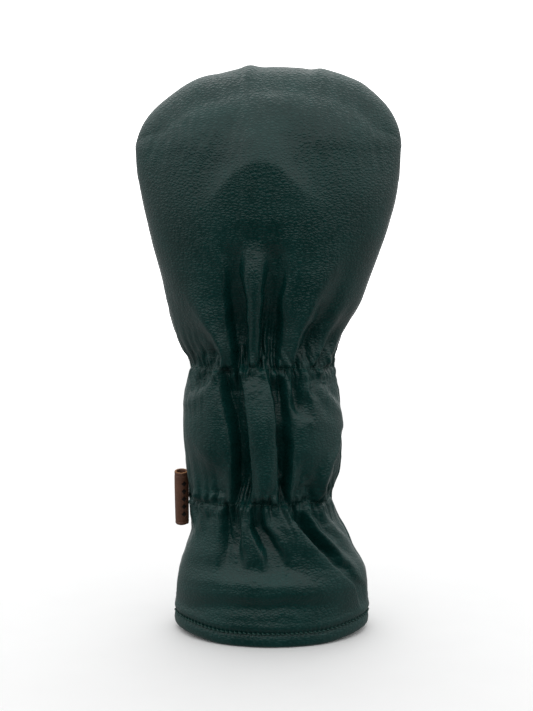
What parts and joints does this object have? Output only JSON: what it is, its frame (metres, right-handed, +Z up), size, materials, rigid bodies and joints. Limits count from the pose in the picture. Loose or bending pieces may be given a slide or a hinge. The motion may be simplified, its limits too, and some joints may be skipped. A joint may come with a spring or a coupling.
{
  "type": "driver head cover",
  "caption": "Soft dark green leather head cover for a golf driver, with a padded head, an elastic-gathered neck, a stitched flared hem and a brown loop tag in the side seam",
  "frame": {"origin": "middle of the mouth, on the plane that the hem stands on", "axes": "+Z up from the mouth to the crown; -Y faces out of the gathered back and +Y out of the plain front; the loop tag is at -X"},
  "size_m": [0.163, 0.096, 0.351],
  "materials": {
    "shell_leather": "pebbled, semi-gloss",
    "foam": "matt",
    "fleece": "short pile",
    "elastic": "woven",
    "thread": "twisted",
    "tag_leather": "smooth, cut edges"
  },
  "bodies": {
    "cover": {"back_panel": "shell_leather", "front_panel": "shell_leather", "back_foam": "foam", "front_foam": "foam", "back_lining": "fleece", "front_lining": "fleece", "upper_elastic": "elastic", "lower_elastic": "elastic", "hem_thread": "thread", "upper_gather_thread": "thread", "lower_gather_thread": "thread", "side_seam_thread": "thread", "lining_seam_thread": "thread"},
    "tag": {"loop_tag": "tag_leather"}
  },
  "joints": [
    {"name": "tag_swing", "type": "hinge", "parent": "cover", "child": "tag", "pos_m": [-0.0513, 0, 0.083], "axis": [0, 0, 1], "range_deg": [-45, 45], "stiffness_Nm_per_rad": 0.0002}
  ]
}
